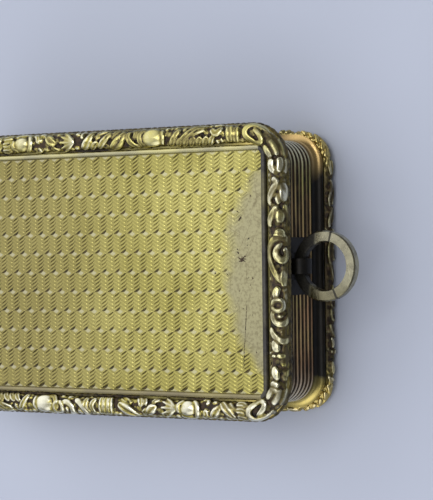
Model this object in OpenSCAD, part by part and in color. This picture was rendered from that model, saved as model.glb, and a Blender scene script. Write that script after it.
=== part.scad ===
// Silver-gilt vinaigrette: a small hinged box for a scented sponge under a pierced, hinged grille,
// with engine-turned panels, cast borders, reeded walls and a suspension ring.
// +Z is up, +X runs along the length to the ring, the back hinge is on +Y, the foot stands on Z = 0.

/* [Box] */
// Length over the borders
box_l = 38; // [34:0.5:50]
// Width over the borders
box_w = 25; // [22:0.5:34]
// Height from the foot to the top of the lid border
box_h = 9.9; // [9.3:0.1:14]
// Corner radius of the borders seen from above
corner_r = 3.4; // [3.2:0.1:4.5]
// How far the borders stand out past the wall
overhang = 1.2; // [1.1:0.05:1.4]

/* [Wall and foot] */
// Wall thickness over the crest of a reed
wall_t = 0.9; // [0.8:0.05:1.1]
// Number of reeds from the cove up to the lid
reeds = 9; // [6:1:11]
// Depth of the groove between two reeds
reed_h = 0.2; // [0.12:0.02:0.26]
// Height of the cast border round the foot
foot_h = 1.6; // [1.4:0.05:1.9]
// Height of the plain cove between foot and reeds
cove_h = 0.85; // [0.75:0.05:1.2]
// Radius of the hollow of the cove
cove_r = 0.7; // [0.5:0.05:0.75]

/* [Lid and base] */
// Thickness of the plain rim under the lid border
rim_t = 0.9; // [0.8:0.05:1.2]
// Width of the cast border on the lid
cast_w = 1.65; // [1.5:0.05:1.8]
// Thickness of the engine-turned panels
panel_t = 0.5; // [0.4:0.05:0.6]
// Radius of the half-round wire that frames a panel
wire_r = 0.26; // [0.2:0.02:0.34]
// Depth of the locating flange inside the lid
flange_d = 1; // [0.8:0.05:1.2]
// Thickness of the locating flange
flange_t = 0.5; // [0.4:0.05:0.6]

/* [Hinges] */
// Length of the lid hinge
hinge_l = 26; // [18:0.5:28]
// Radius of a lid knuckle
knuckle_r = 0.6; // [0.5:0.02:0.64]
// Radius of the lid hinge pin
pin_r = 0.28; // [0.2:0.02:0.34]
// Length of the grille hinge
grille_hinge_l = 20; // [12:0.5:24]
// Radius of a grille knuckle
grille_knuckle_r = 0.45; // [0.4:0.01:0.5]
// Radius of the grille hinge pin
grille_pin_r = 0.2; // [0.15:0.01:0.24]
// Knuckles along each hinge
knuckles = 5; // [3:2:7]

/* [Grille] */
// Thickness of the pierced plate
grille_t = 0.35; // [0.25:0.05:0.45]
// Width of the strip that stiffens the grille
grille_strip_w = 0.8; // [0.6:0.05:1]
// Height of the strip that stiffens the grille
grille_strip_h = 0.55; // [0.4:0.05:0.7]
// Width of the ledge that carries the grille
seat_w = 0.8; // [0.6:0.05:1]
// Height of the ledge that carries the grille
seat_h = 0.6; // [0.4:0.05:0.8]

/* [Ring] */
// Outer diameter of the suspension ring
ring_d = 5.95; // [5.4:0.05:6.4]
// Width of the ring band seen from above
ring_w = 0.95; // [0.8:0.05:1]
// Thickness of the ring band
ring_t = 0.85; // [0.7:0.05:0.9]
// Length of the lug plate across the end of the box
lug_l = 4.9; // [4:0.1:6]
// Height of the lug plate
lug_h = 4.3; // [3.4:0.1:4.6]
// Thickness of the lug plate
lug_t = 0.5; // [0.4:0.05:0.6]
// How far the lug sits from the middle of the end, towards the hinge
ring_off = 0.45; // [0:0.05:1]
// Length of the eye that holds the ring
eye_l = 1.3; // [1:0.05:1.5]
// Metal round the eye
eye_t = 0.3; // [0.25:0.05:0.35]

/* [Fits] */
// Gap between the closed lid and the wall
seam_gap = 0.05; // [0.02:0.01:0.1]
// Radial gap between a pin and a turning knuckle
pin_gap = 0.04; // [0.02:0.01:0.06]
// Gap between a turning piece and the metal round it
turn_gap = 0.08; // [0.06:0.01:0.1]
// Gap left for solder round a fixed piece
solder_gap = 0.01; // [0.01:0.005:0.02]
// Gap between the lid flange and the wall
flange_gap = 0.12; // [0.1:0.01:0.16]
// Gap between the grille and the wall
grille_gap = 0.15; // [0.12:0.01:0.2]
// Gap between the grille strip and its ledge
seat_gap = 0.03; // [0.02:0.01:0.06]
// Gap round the edge of a panel
panel_gap = 0.05; // [0.02:0.01:0.08]
// Gap between the ring and its eye
eye_gap = 0.05; // [0.04:0.01:0.08]
// Gap between the ring and the face of the lug
ring_gap = 0.1; // [0.08:0.01:0.14]

/* [Hidden] */
$fn = 64;

// heights from the foot up
cast_r = cast_w / 2;
foot_r = foot_h / 2;
rim_top = box_h - cast_r;
seam = rim_top - rim_t;
wall_z = foot_h + cove_h;
wall_top = seam - seam_gap;
flange_z = seam - flange_d;
rebate_d = 0.4;
lid_ledge_t = rim_t - rebate_d;
lid_panel_z = seam + lid_ledge_t;
lid_panel_top = lid_panel_z + panel_t;
base_recess = 0.45;
base_panel_top = base_recess + panel_t;

// insets from the outline of the borders
wall_in = overhang + wall_t;
flange_out = wall_in + flange_gap;
flange_in = flange_out + flange_t;
ledge_lip = 0.08;
lid_ledge_in = flange_in + ledge_lip;
panel_margin = 0.11;
panel_in = cast_w + panel_margin;
base_ledge_w = 0.75;
base_ledge_in = panel_in + base_ledge_w;
wire_in = panel_in + wire_r;
edge_bevel = 0.15;
cove_step = 0.1;
cove_out = overhang + cove_step - cove_r;
over = 1;

// reeds
reed_pitch = (wall_top - wall_z) / reeds;
reed_r = 0.46 * reed_pitch;

// turned pattern of the cast borders: a round boss, then three ribs
unit_l = 3.55;
ribs = 3;
rod_share = 0.62;
rib_share = 0.3;
rib_reach = 0.96;
rib_crowd = 0.4;
corner_share = 0.92;
boss_out = 0.12;

// lid hinge, half sunk in the back wall and half in the rim
hinge_share = 0.58;
hinge_y = box_w / 2 - overhang + hinge_share * knuckle_r;
hinge_z = seam - seam_gap / 2;
pin_short = 0.2;

// grille and its hinge
grille_drop = 0.3;
grille_top = flange_z - grille_drop;
strip_top = grille_top - grille_t;
strip_z = strip_top - grille_strip_h;
seat_top = strip_z - seat_gap;
seat_z = seat_top - seat_h;
grille_back_gap = 0.1;
grille_hinge_y = box_w / 2 - wall_in - grille_knuckle_r - grille_back_gap;
grille_hinge_z = grille_top - grille_knuckle_r;
grille_in = wall_in + grille_gap;
grille_r = corner_r - grille_in;
grille_l = box_l - 2 * grille_in;
grille_back = grille_hinge_y - grille_knuckle_r - turn_gap;
grille_front = -(box_w / 2 - grille_in);
grille_w = grille_back - grille_front;
grille_mid = (grille_back + grille_front) / 2;
tongue_t = 0.4;
// the back corners are cut away, so that the raised grille clears the round corners of the wall
wall_in_r = corner_r - wall_in;
corner_room = sqrt(grille_back_gap * (2 * wall_in_r - grille_back_gap)) - turn_gap;
corner_cut_l = corner_r - grille_in - corner_room;
corner_cut_w = wall_top - grille_hinge_z - grille_knuckle_r;
// size of the piercing against the room inside the strip
pierce = min((grille_l / 2 - grille_strip_w) / 15.9, (grille_w / 2 - grille_strip_w) / 8.9);

// sponge
sponge_gap = 0.1;
sponge_r = 1;
sponge_rest = 0.02;
sponge_z = base_panel_top + sponge_rest;
sponge_h = seat_z - sponge_gap - sponge_z;

// ring, lug and eye
ring_mid = (ring_d - ring_w) / 2;
ring_soft = 0.88;
ring_round = ring_soft * norm([ring_w, ring_t]) / 2;
ring_sag = pow(eye_l / 2, 2) / (2 * ring_mid);
eye_r = ring_round + ring_sag + eye_gap;
lug_out = 0.15;
lug_face = box_l / 2 - overhang + lug_out;
lug_z = wall_top - lug_h;
eye_x = lug_face + ring_w / 2 + ring_gap;
eye_z = lug_z + lug_h / 2;
ring_x = eye_x + ring_mid;
wear = 0.1;
wear_r = ring_mid - ring_w / 2 + 0.03;

gilt = [0.84, 0.78, 0.5];
silver = [0.82, 0.82, 0.78];

// shared shapes

// sweeps a profile round the outline: x is the way out from the outline, y is height
module around() {
    for (k = [0:3]) {
        along = k % 2 == 0 ? box_w : box_l;
        across = k % 2 == 0 ? box_l : box_w;
        rotate(90 * k) {
            translate([across / 2, 0, 0])
                rotate([90, 0, 0])
                    linear_extrude(along - 2 * corner_r, center = true)
                        children();
            translate([across / 2 - corner_r, along / 2 - corner_r, 0])
                rotate_extrude(angle = 90)
                    translate([corner_r, 0])
                        children();
        }
    }
}

// rectangle between two insets and two heights
module bar(inset_in, inset_out, z0, z1) {
    translate([-inset_in, z0])
        square([inset_in - inset_out, z1 - z0]);
}

module rounded(l, w, r) {
    square([l - 2 * r, w], center = true);
    square([l, w - 2 * r], center = true);
    for (x = [-1, 1], y = [-1, 1])
        translate([x * (l / 2 - r), y * (w / 2 - r)])
            circle(r);
}

module plate(inset, z, t) {
    translate([0, 0, z])
        linear_extrude(t)
            rounded(box_l - 2 * inset, box_w - 2 * inset, corner_r - inset);
}

// a rod along X at a height and depth of its own
module rod(r, l, y, z) {
    translate([0, y, z])
        rotate([0, 90, 0])
            cylinder(r = r, h = l, center = true);
}

// places children at the middle of every second knuckle of a hinge, first or between
module each_knuckle(l, first) {
    pitch = l / knuckles;
    for (i = [first:2:knuckles - 1])
        translate([(i + 0.5) * pitch - l / 2, 0, 0])
            children();
}

// room cut round a hinge: snug where a knuckle is fixed, free where one turns
module hinge_room(turning) {
    rod(knuckle_r + solder_gap, hinge_l, hinge_y, hinge_z);
    each_knuckle(hinge_l, turning)
        rod(knuckle_r + turn_gap, hinge_l / knuckles, hinge_y, hinge_z);
}

module lid_hinge_knuckles(first, bore_r) {
    difference() {
        each_knuckle(hinge_l, first)
            rod(knuckle_r, hinge_l / knuckles - turn_gap, hinge_y, hinge_z);
        rod(bore_r, hinge_l + over, hinge_y, hinge_z);
    }
}

// half of a turned rod of bosses and ribs, flat side on the plane of the axis
module turned_run(l, r) {
    units = round(l / unit_l);
    step = l / units;
    rib_step = (step - 2 * r) / (ribs - rib_crowd);
    rotate_extrude(angle = 180) {
        translate([0, -l / 2])
            square([rod_share * r, l]);
        for (i = [0:units - 1]) {
            u = (i + 0.5) * step - l / 2;
            intersection() {
                translate([0, u])
                    circle(r);
                translate([0, u - r])
                    square(2 * r);
            }
        }
        for (i = [0:units], j = [0:ribs - 1]) {
            u = i * step - l / 2 + (j - (ribs - 1) / 2) * rib_step;
            if (abs(u) < l / 2 - rib_share * r)
                translate([(rib_reach - rib_share) * r, u])
                    circle(rib_share * r);
        }
    }
}

module half_disc(r) {
    intersection() {
        circle(r);
        translate([-r, 0])
            square(2 * r);
    }
}

// turned runs joined by plain corners, each with a boss: turn 0 lies flat side down, 90 flat side in
module cast_border(r, z, turn) {
    for (k = [0:3]) {
        along = k % 2 == 0 ? box_w : box_l;
        across = k % 2 == 0 ? box_l : box_w;
        rotate(90 * k) {
            translate([across / 2 - r, 0, z])
                rotate([90, turn, 0])
                    turned_run(along - 2 * corner_r, r);
            translate([across / 2 - corner_r, along / 2 - corner_r, z]) {
                rotate_extrude(angle = 90)
                    translate([corner_r - r, 0])
                        rotate(-turn)
                            half_disc(corner_share * r);
                intersection() {
                    rotate(45)
                        translate([corner_r - r + boss_out * r, 0, 0])
                            sphere(r);
                    rotate_extrude(angle = 90)
                        translate([corner_r - r, 0])
                            rotate(-turn)
                                translate([-2 * r, 0])
                                    square([4 * r, 2 * r]);
                }
            }
        }
    }
}

// solids

module base_rim() {
    color(gilt)
        around()
            difference() {
                bar(base_ledge_in, foot_r, 0, foot_h);
                bar(base_ledge_in + over, panel_in, -over, base_panel_top);
            }
}

module base_cast_border() {
    color(silver)
        cast_border(foot_r, foot_r, 90);
}

module base_panel() {
    color(gilt)
        plate(panel_in + panel_gap, base_recess, panel_t);
}

module base_wire() {
    color(gilt)
        around()
            intersection() {
                translate([-wire_in, base_recess])
                    circle(wire_r);
                bar(wire_in + wire_r, wire_in - wire_r, 0, base_recess);
            }
}

module foot_cove() {
    color(gilt)
        around()
            difference() {
                bar(wall_in, cove_out, foot_h, wall_z);
                translate([-cove_out, wall_z])
                    circle(cove_r);
            }
}

module side_wall() {
    color(gilt)
        difference() {
            around() {
                bar(wall_in, overhang + reed_h, wall_z, wall_top);
                for (i = [0:reeds - 1])
                    translate([-overhang - reed_r, wall_z + (i + 0.5) * reed_pitch])
                        circle(reed_r);
            }
            hinge_room(1);
            translate([lug_face - lug_t - solder_gap, ring_off - lug_l / 2 - solder_gap, lug_z - solder_gap])
                cube([lug_t + over, lug_l + 2 * solder_gap, lug_h + over]);
        }
}

module box_knuckles() {
    color(gilt)
        lid_hinge_knuckles(0, pin_r + solder_gap);
}

module lid_hinge_pin() {
    color(silver)
        rod(pin_r, hinge_l - pin_short, hinge_y, hinge_z);
}

module grille_seat() {
    color(gilt)
        around()
            bar(wall_in + seat_w, wall_in, seat_z, seat_top);
}

module grille_brackets() {
    step = grille_hinge_l / knuckles;
    color(gilt)
        difference() {
            each_knuckle(grille_hinge_l, 0) {
                rod(grille_knuckle_r, step - turn_gap, grille_hinge_y, grille_hinge_z);
                translate([-(step - turn_gap) / 2, grille_hinge_y, grille_hinge_z - tongue_t / 2])
                    cube([step - turn_gap, box_w / 2 - wall_in - grille_hinge_y, tongue_t]);
            }
            rod(grille_pin_r + solder_gap, grille_hinge_l + over, grille_hinge_y, grille_hinge_z);
        }
}

module grille_hinge_pin() {
    color(silver)
        rod(grille_pin_r, grille_hinge_l - pin_short, grille_hinge_y, grille_hinge_z);
}

module sponge() {
    inset = base_ledge_in + sponge_gap;
    color([0.85, 0.68, 0.38])
        translate([0, 0, sponge_z])
            linear_extrude(sponge_h)
                rounded(box_l - 2 * inset, box_w - 2 * inset, sponge_r);
}

module ring_lug() {
    color(silver)
        translate([0, ring_off, 0])
            difference() {
                union() {
                    translate([lug_face - lug_t, -lug_l / 2, lug_z])
                        cube([lug_t, lug_l, lug_h]);
                    translate([eye_x, 0, eye_z])
                        rotate([90, 0, 0])
                            cylinder(r = eye_r + eye_t, h = eye_l, center = true);
                }
                translate([eye_x, 0, eye_z])
                    rotate([90, 0, 0])
                        cylinder(r = eye_r, h = eye_l + over, center = true);
                translate([0, -lug_l / 2, lug_z])
                    cube([lug_face - lug_t, lug_l, lug_h]);
            }
}

module lid_rim() {
    color(gilt)
        difference() {
            around()
                difference() {
                    polygon([[-lid_ledge_in, seam], [-edge_bevel, seam], [0, seam + edge_bevel],
                             [0, rim_top - edge_bevel], [-edge_bevel, rim_top], [-lid_ledge_in, rim_top]]);
                    bar(lid_ledge_in + over, panel_in, lid_panel_z, rim_top + over);
                }
            hinge_room(0);
        }
}

module lid_cast_border() {
    color(silver)
        cast_border(cast_r, rim_top, 0);
}

module lid_panel() {
    color(gilt)
        plate(panel_in + panel_gap, lid_panel_z, panel_t);
}

module lid_wire() {
    color(gilt)
        around()
            intersection() {
                translate([-wire_in, lid_panel_top])
                    circle(wire_r);
                bar(wire_in + wire_r, wire_in - wire_r, lid_panel_top, lid_panel_top + wire_r);
            }
}

module lid_flange() {
    color(gilt)
        around()
            bar(flange_in, flange_out, flange_z, seam);
}

module lid_knuckles() {
    color(gilt)
        lid_hinge_knuckles(1, pin_r + pin_gap);
}

module leaf(l, w) {
    r = (l * l + w * w) / (4 * w);
    intersection() {
        translate([0, r - w / 2])
            circle(r);
        translate([0, w / 2 - r])
            circle(r);
    }
}

module crescent(r_out, r_in, shift) {
    difference() {
        circle(r_out);
        translate([shift, 0])
            circle(r_in);
    }
}

// one quarter of the foliage: a scroll round a five-hole flower, with leaves in the spandrels
module scroll_piercing() {
    translate([9.4 * pierce, 4.5 * pierce]) {
        for (a = [0:72:288])
            rotate(a)
                translate([0.9 * pierce, 0])
                    circle(0.38 * pierce);
        rotate(20)
            crescent(2.35 * pierce, 2.1 * pierce, 0.45 * pierce);
        rotate(170)
            crescent(3.8 * pierce, 3.45 * pierce, 0.6 * pierce);
    }
    pierced_leaf(14.4, 7.6, 45, 2, 0.75);
    pierced_leaf(14.7, 4.6, 90, 2.6, 0.8);
    pierced_leaf(14.5, 1.5, 120, 2, 0.8);
    pierced_leaf(2.3, 6.3, 65, 3.4, 1);
    pierced_leaf(4.6, 7.4, 35, 2.4, 0.8);
    pierced_leaf(3.9, 4.6, 120, 2.2, 0.8);
}

// rosette in the middle, with the holes that lie on the centre lines
module rosette_piercing() {
    for (a = [0:45:315]) {
        rotate(a)
            pierced_leaf(2, 0, 0, 2.4, 0.9);
        rotate(a + 22.5)
            translate([3.1 * pierce, 0])
                circle(0.3 * pierce);
    }
    for (side = [-1, 1]) {
        pierced_leaf(0, 6.6 * side, 90, 3.6, 1.2);
        translate([5 * side * pierce, 0])
            circle(0.6 * pierce);
        translate([12.9 * side * pierce, 0])
            circle(0.55 * pierce);
    }
}

module pierced_leaf(x, y, turn, l, w) {
    translate([x * pierce, y * pierce])
        rotate(turn)
            leaf(l * pierce, w * pierce);
}

// the two back corners of the grille, wider by an edge
module back_corners(edge) {
    for (side = [-1, 1])
        translate([side * grille_l / 2, grille_w / 2])
            square([2 * (corner_cut_l + edge), 2 * (corner_cut_w + edge)], center = true);
}

module grille_plate() {
    color(gilt)
        translate([0, grille_mid, strip_top])
            linear_extrude(grille_t)
                difference() {
                    rounded(grille_l, grille_w, grille_r);
                    back_corners(0);
                    rosette_piercing();
                    for (mx = [0, 1], my = [0, 1])
                        mirror([mx, 0])
                            mirror([0, my])
                                scroll_piercing();
                }
}

module grille_strip() {
    color(gilt)
        translate([0, grille_mid, strip_z])
            linear_extrude(grille_strip_h)
                difference() {
                    rounded(grille_l, grille_w, grille_r);
                    back_corners(0);
                    difference() {
                        square([grille_l - 2 * grille_strip_w, grille_w - 2 * grille_strip_w], center = true);
                        back_corners(grille_strip_w);
                    }
                }
}

module grille_knuckles() {
    step = grille_hinge_l / knuckles;
    color(gilt)
        difference() {
            each_knuckle(grille_hinge_l, 1) {
                rod(grille_knuckle_r, step - turn_gap, grille_hinge_y, grille_hinge_z);
                translate([-(step - turn_gap) / 2, grille_back, grille_hinge_z - tongue_t / 2])
                    cube([step - turn_gap, grille_hinge_y - grille_back, tongue_t]);
            }
            rod(grille_pin_r + pin_gap, grille_hinge_l + over, grille_hinge_y, grille_hinge_z);
        }
}

module suspension_ring() {
    color(silver)
        translate([ring_x, ring_off, eye_z])
            difference() {
                rotate_extrude()
                    translate([ring_mid, 0])
                        intersection() {
                            square([ring_w, ring_t], center = true);
                            circle(ring_round);
                        }
                translate([wear, 0, 0])
                    cylinder(r = wear_r, h = 2 * ring_t, center = true);
            }
}

base_rim();
base_cast_border();
base_panel();
base_wire();
foot_cove();
side_wall();
box_knuckles();
lid_hinge_pin();
grille_seat();
grille_brackets();
grille_hinge_pin();
sponge();
ring_lug();
lid_rim();
lid_cast_border();
lid_panel();
lid_wire();
lid_flange();
lid_knuckles();
grille_plate();
grille_strip();
grille_knuckles();
suspension_ring();
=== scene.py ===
# %% [markdown]
# # A silver-gilt vinaigrette
# A vinaigrette is a small hinged box for a scented sponge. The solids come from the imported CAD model,
# and this lesson dresses them: cast borders, engine-turned panels, worn gilding and a porous sponge.
# The frame is loaded first, because every piece takes its place and size from it.

# %% Load the frame
import collections
import functools
import math

import bpy
import numpy as np
from mathutils import Matrix, Vector


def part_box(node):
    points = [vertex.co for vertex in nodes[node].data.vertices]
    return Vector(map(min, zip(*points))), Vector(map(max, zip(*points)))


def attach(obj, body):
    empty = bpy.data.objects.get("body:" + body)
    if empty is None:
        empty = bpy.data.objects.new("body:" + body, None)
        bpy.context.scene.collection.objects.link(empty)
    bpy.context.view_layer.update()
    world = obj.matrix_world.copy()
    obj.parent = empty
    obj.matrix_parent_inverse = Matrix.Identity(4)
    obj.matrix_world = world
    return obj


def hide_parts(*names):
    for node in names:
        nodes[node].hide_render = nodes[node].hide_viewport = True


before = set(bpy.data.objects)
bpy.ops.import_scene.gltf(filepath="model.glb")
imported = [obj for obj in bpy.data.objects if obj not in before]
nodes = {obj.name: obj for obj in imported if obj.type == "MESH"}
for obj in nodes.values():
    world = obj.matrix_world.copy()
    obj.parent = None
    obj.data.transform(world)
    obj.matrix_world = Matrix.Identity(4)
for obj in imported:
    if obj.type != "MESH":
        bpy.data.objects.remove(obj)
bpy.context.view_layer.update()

MM = 0.001


def box_mm(node):
    low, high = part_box(node)
    return [v / MM for v in low], [v / MM for v in high]


def new_object(name, data):
    made = bpy.data.objects.new(name, data)
    bpy.context.collection.objects.link(made)
    return made


rim_low, rim_high = box_mm("lid_rim")
print("lid rim in mm:", [round(v, 3) for v in rim_low + rim_high])

# %% [markdown]
# ## Camera
# The box was seen from above, 32 degrees off the vertical and towards the ring, with a long lens.
# A constraint could aim the camera, but a matrix made of its own right, up and back directions places
# it without one, and the slight roll of the picture is two more terms.

# %% Camera
CAMERA_MM = (101.008, 1.903, 148.959)
TILT = math.radians(32.43)
ROLL = math.radians(-0.703)
FOCAL_PX = 1950
IMAGE_LONG_PX = 500
SENSOR_MM = 36
NEAREST_M = 0.005

camera_data = bpy.data.cameras.new("camera")
camera_data.sensor_width = SENSOR_MM
camera_data.lens = FOCAL_PX * SENSOR_MM / IMAGE_LONG_PX
camera_data.clip_start = NEAREST_M
camera = new_object("camera", camera_data)
right = Vector((math.cos(TILT), 0, -math.sin(TILT)))
back = Vector((math.sin(TILT), 0, math.cos(TILT)))
up = Vector((0, 1, 0))
turned_right = math.cos(ROLL) * right + math.sin(ROLL) * up
turned_up = math.cos(ROLL) * up - math.sin(ROLL) * right
turn = Matrix((turned_right, turned_up, back)).transposed().to_4x4()
camera.matrix_world = Matrix.Translation(Vector(CAMERA_MM) * MM) @ turn
bpy.context.scene.camera = camera
bpy.context.scene.view_settings.view_transform = "Standard"
print("lens in mm:", round(camera_data.lens, 1))

# %% [markdown]
# ## Helpers for node trees
# Materials, the world and the shape trees are all made of nodes. Wiring every sum by hand hides what
# is worked out, so a small class stands for a wire out of a node: a sum written on it, such as
# x * 2.0 + y, adds the math nodes. A few more helpers blend colours and split a place into x, y and z.

# %% Wires and sums


def plug(tree, socket, value):
    """Sets an input to a value, or wires it to another node."""
    value = getattr(value, "socket", value)
    if isinstance(value, bpy.types.NodeSocket):
        tree.links.new(value, socket)
    else:
        socket.default_value = value


def calc(tree, operation, *values):
    node = tree.nodes.new("ShaderNodeMath")
    node.operation = operation
    for socket, value in zip(node.inputs, values):
        plug(tree, socket, value)
    return Wire(tree, node.outputs[0])


class Wire:
    """A wire out of a node. Sums on it add math nodes to its tree."""

    def __init__(self, tree, socket):
        self.tree, self.socket = tree, socket

    def calc(self, operation, *others):
        return calc(self.tree, operation, self, *others)

    def rest(self):
        """What is left of one."""
        return calc(self.tree, "SUBTRACT", 1.0, self)

    def scaled(self, by, plus):
        return self.calc("MULTIPLY_ADD", by, plus)

    def at_least(self, low):
        return self.calc("MAXIMUM", low)

    def at_most(self, high):
        return self.calc("MINIMUM", high)

    def within(self, low, high):
        return self.at_least(low).at_most(high)

    def ease(self, start, end):
        """0 at the start, 1 at the end and smooth between, whichever of the two is larger."""
        node = self.tree.nodes.new("ShaderNodeMapRange")
        node.interpolation_type = "SMOOTHSTEP"
        plug(self.tree, node.inputs["Value"], self)
        ends = (start, end, 0, 1) if start < end else (end, start, 1, 0)
        for name, value in zip(("From Min", "From Max", "To Min", "To Max"), ends):
            node.inputs[name].default_value = value
        return Wire(self.tree, node.outputs["Result"])


SUMS = {"add": "ADD", "sub": "SUBTRACT", "mul": "MULTIPLY", "truediv": "DIVIDE", "lt": "LESS_THAN",
        "gt": "GREATER_THAN", "abs": "ABSOLUTE"}
for sign, operation in SUMS.items():
    setattr(Wire, "__%s__" % sign, functools.partialmethod(Wire.calc, operation))
print("sums that a wire can do:", ", ".join(SUMS.values()))

# %% Colours, places and noise


def tint(tree, amount, first, second):
    node = tree.nodes.new("ShaderNodeMix")
    node.data_type = "RGBA"
    for number, value in ((0, amount), (6, first), (7, second)):
        plug(tree, node.inputs[number], value)
    return node.outputs[2]


def split(tree, vector):
    node = tree.nodes.new("ShaderNodeSeparateXYZ")
    plug(tree, node.inputs[0], vector)
    return [Wire(tree, socket) for socket in node.outputs]


def noise(tree, vector, scale, detail=4.0):
    node = tree.nodes.new("ShaderNodeTexNoise")
    for name, value in (("Vector", vector), ("Scale", scale), ("Detail", detail), ("Roughness", 0.55)):
        plug(tree, node.inputs[name], value)
    return Wire(tree, node.outputs["Fac"])


def colour(red, green, blue):
    """A shader colour from the 0 to 255 values that a picture of it would have."""
    def linear(c):
        c /= 255
        return c / 12.92 if c <= 0.04045 else ((c + 0.055) / 1.055) ** 2.4
    return linear(red), linear(green), linear(blue), 1.0


def new_material(name):
    made = bpy.data.materials.new(name)
    made.use_nodes = True
    return made, made.node_tree, made.node_tree.nodes["Principled BSDF"]


print("mid grey in a shader:", round(colour(128, 128, 128)[0], 3))

# %% [markdown]
# ## Light
# Polished metal shows what stands round it, so the light is mostly a room. A picture of a room could
# be wrapped round the scene, but two soft bright patches on a dim world are enough: a wide window on
# the far left and a smaller glow in front. One area lamp overhead gives the soft shadow.

# %% World and lamp
WINDOW_SIDE = (-0.85, 0.34, 0.40)
FRONT_SIDE = (0.0, -0.78, 0.58)
ROOM_COLOUR = (0.97, 0.98, 1.0, 1)
DIM_SIDE, WINDOW_GAIN, FRONT_GAIN = 0.18, 1.3, 1.6
KEY_SIZE_M = 0.4
KEY_PLACE_M = (0.06, 0.06, 0.5)
KEY_POWER_W = 1.35

world = bpy.data.worlds.new("soft room")
bpy.context.scene.world = world
world.use_nodes = True
room = world.node_tree
room.nodes.clear()
direction = room.nodes.new("ShaderNodeTexCoord").outputs["Generated"]


def glow(middle, start, end):
    """1 towards the middle of a bright patch, 0 away from it."""
    node = room.nodes.new("ShaderNodeVectorMath")
    node.operation = "DOT_PRODUCT"
    plug(room, node.inputs[0], direction)
    node.inputs[1].default_value = Vector(middle).normalized()
    return Wire(room, node.outputs["Value"]).ease(start, end)


window_glow = glow(WINDOW_SIDE, 0.32, 1.02).scaled(WINDOW_GAIN, DIM_SIDE)
background = room.nodes.new("ShaderNodeBackground")
background.inputs["Color"].default_value = ROOM_COLOUR
plug(room, background.inputs["Strength"], glow(FRONT_SIDE, 0.74, 1.0).scaled(FRONT_GAIN, window_glow))
plug(room, room.nodes.new("ShaderNodeOutputWorld").inputs[0], background.outputs[0])

key_data = bpy.data.lights.new("window", "AREA")
key_data.size = KEY_SIZE_M
key_data.energy = KEY_POWER_W
key = new_object("window", key_data)
key.location = KEY_PLACE_M
key.rotation_euler = (-Vector(KEY_PLACE_M)).to_track_quat("-Z", "Y").to_euler()
print("nodes in the room:", len(room.nodes))

# %% [markdown]
# ## Floor
# The box stands on a pale bluish cloth. A modelled cloth would draw the eye, so it is one large flat
# face with a faint mottle. It lies a hair under the foot, so that the two don't share a plane.

# %% Floor
FLOOR_HALF_M = 3.0
FLOOR_BELOW_M = 0.00002
MOTTLE_SCALE = 22
CLOTH_ROUGHNESS = 0.9

floor_mesh = bpy.data.meshes.new("floor")
sides = [(-1, -1), (1, -1), (1, 1), (-1, 1)]
floor_mesh.from_pydata(
    [(x * FLOOR_HALF_M, y * FLOOR_HALF_M, -FLOOR_BELOW_M) for x, y in sides], [], [(0, 1, 2, 3)])
floor = new_object("floor", floor_mesh)
cloth, tree, shader = new_material("pale cloth")
clouds = tree.nodes.new("ShaderNodeTexNoise")
clouds.inputs["Scale"].default_value = MOTTLE_SCALE
plug(tree, clouds.inputs["Vector"], tree.nodes.new("ShaderNodeTexCoord").outputs["Object"])
mottle = Wire(tree, clouds.outputs["Fac"]).ease(0.3, 0.7)
plug(tree, shader.inputs["Base Color"], tint(tree, mottle, colour(175, 181, 197), colour(180, 186, 203)))
shader.inputs["Roughness"].default_value = CLOTH_ROUGHNESS
floor_mesh.materials.append(cloth)
print("floor in m:", 2 * FLOOR_HALF_M)

# %% [markdown]
# ## Finishes
# Old gilding is pale gold where it holds, silver where fingers rubbed it through, and brown to black in the
# hollows. Each finish blends those three by masks, and some masks also paint shade, highlights and reflections
# where the light would fall. Blotches and hairline scratches come from two node groups that every finish
# shares. The hollows come from the shape: from a relief value that is stored on a mesh, or from a height in
# the box.

# %% Shared groups
PALE_GOLD = colour(192, 183, 109)
DEEP_GOLD = colour(158, 148, 78)
OLD_GOLD = colour(132, 122, 78)
WORN_SILVER = colour(220, 217, 196)
OLD_SILVER = colour(158, 153, 126)
ROSE_GOLD = colour(206, 160, 118)
AMBER = colour(214, 190, 116)
BROWN = colour(66, 50, 33)
TARNISH_AND_SHADE = colour(24, 20, 14)
SOOT_AND_SHADE = colour(12, 11, 9)
SCRATCHES = ((97, 0.0), (-31, 40.0), (63, 80.0), (86, 120.0))  # turn, seed
SCRATCH_STRETCH = (6.0, 0.14, 0.14)


def group(name, inputs, outputs):
    made = bpy.data.node_groups.new(name, "ShaderNodeTree")
    for label, kind in inputs.items():
        made.interface.new_socket(label, in_out="INPUT", socket_type="NodeSocket" + kind)
    for label in outputs:
        made.interface.new_socket(label, in_out="OUTPUT", socket_type="NodeSocketFloat")
    return made, made.nodes.new("NodeGroupInput").outputs, made.nodes.new("NodeGroupOutput").inputs


blotches, given, result = group("tarnish blotches", {"Place": "Vector", "Scale": "Float"}, ("Wide", "Fine"))
fine_scale = Wire(blotches, given["Scale"]) * 9.0
plug(blotches, result["Wide"], noise(blotches, given["Place"], given["Scale"]).ease(0.32, 0.68))
plug(blotches, result["Fine"], noise(blotches, given["Place"], fine_scale).ease(0.3, 0.7))

hairlines, given, result = group("hairline scratches", {"Place": "Vector"}, ("Lines",))
total = 0.0
for turn_deg, seed in SCRATCHES:
    lay = hairlines.nodes.new("ShaderNodeMapping")
    lay.vector_type = "TEXTURE"
    lay.inputs["Rotation"].default_value = (0, 0, math.radians(turn_deg))
    lay.inputs["Location"].default_value = (seed, seed, 0)
    lay.inputs["Scale"].default_value = SCRATCH_STRETCH
    plug(hairlines, lay.inputs["Vector"], given["Place"])
    streak = noise(hairlines, lay.outputs["Vector"], 1.0, 2.0).ease(0.665, 0.71)
    total = calc(hairlines, "ADD", total, streak)
plug(hairlines, result["Lines"], total.at_most(1.0))
print("shared groups:", blotches.name, "and", hairlines.name)
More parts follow.
